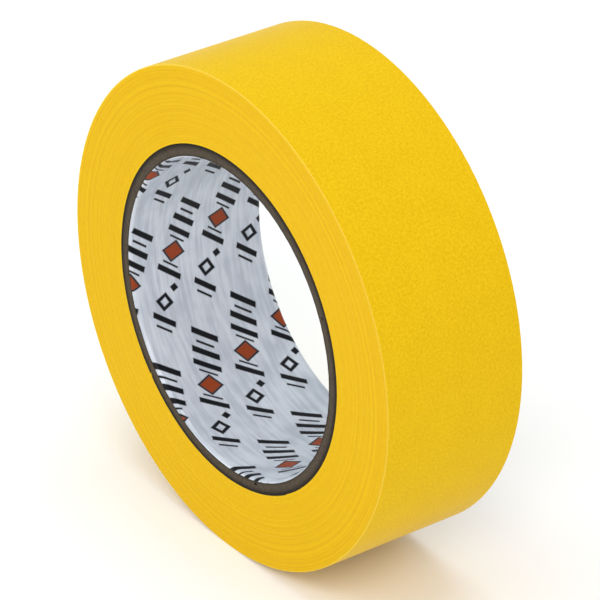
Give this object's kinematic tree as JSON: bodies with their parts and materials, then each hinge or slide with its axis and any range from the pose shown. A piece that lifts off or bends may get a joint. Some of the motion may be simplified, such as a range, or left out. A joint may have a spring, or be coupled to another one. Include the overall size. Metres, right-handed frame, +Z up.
{
  "type": "masking tape roll",
  "caption": "Wide roll of yellow crepe masking tape on a dark board core with a printed silver liner, standing on its tread, with a loose end that peels away.",
  "frame": {"origin": "on the surface the roll stands on, under the middle of the roll: the bottom centre of its box", "axes": "+Y along the roll's axis, away from the face that is seen first; +Z up; +X to the right seen from the front"},
  "size_m": [0.1198, 0.0376, 0.1197],
  "materials": {
    "tape": "yellow saturated crepe paper, fine fibre grain, satin to matt",
    "board": "dark brown-grey board, cut edge, matt",
    "liner": "silver-grey printed paper, soft satin"
  },
  "bodies": {
    "roll": {"core_liner": "liner", "core_ply_1": "board", "core_ply_2": "board", "core_ply_3": "board", "core_ply_4": "board", "core_ply_5": "board", "wound_tape": "tape"},
    "tape_end_1": {"tape_end_1": "tape"},
    "tape_end_2": {"tape_end_2": "tape"},
    "tape_end_3": {"tape_end_3": "tape"},
    "tape_end_4": {"tape_end_4": "tape"},
    "tape_end_5": {"tape_end_5": "tape"}
  },
  "joints": [
    {"name": "tape_end_peel", "type": "hinge", "parent": "roll", "child": "tape_end_1", "pos_m": [-0.05721, 0, 0.07788], "axis": [0, 1, 0], "range_deg": [0, 90]},
    {"name": "tape_end_bend_2", "type": "hinge", "parent": "tape_end_1", "child": "tape_end_2", "pos_m": [-0.05947, 0, 0.06767], "axis": [0, 1, 0], "range_deg": [0, 9]},
    {"name": "tape_end_bend_3", "type": "hinge", "parent": "tape_end_2", "child": "tape_end_3", "pos_m": [-0.05993, 0, 0.05723], "axis": [0, 1, 0], "range_deg": [0, 9]},
    {"name": "tape_end_bend_4", "type": "hinge", "parent": "tape_end_3", "child": "tape_end_4", "pos_m": [-0.05857, 0, 0.04686], "axis": [0, 1, 0], "range_deg": [0, 9]},
    {"name": "tape_end_bend_5", "type": "hinge", "parent": "tape_end_4", "child": "tape_end_5", "pos_m": [-0.05543, 0, 0.03688], "axis": [0, 1, 0], "range_deg": [0, 9]}
  ],
  "couplings": [
    {"joint": "tape_end_bend_2", "follows": "tape_end_peel", "ratio": 0.1},
    {"joint": "tape_end_bend_3", "follows": "tape_end_peel", "ratio": 0.1},
    {"joint": "tape_end_bend_4", "follows": "tape_end_peel", "ratio": 0.1},
    {"joint": "tape_end_bend_5", "follows": "tape_end_peel", "ratio": 0.1}
  ]
}
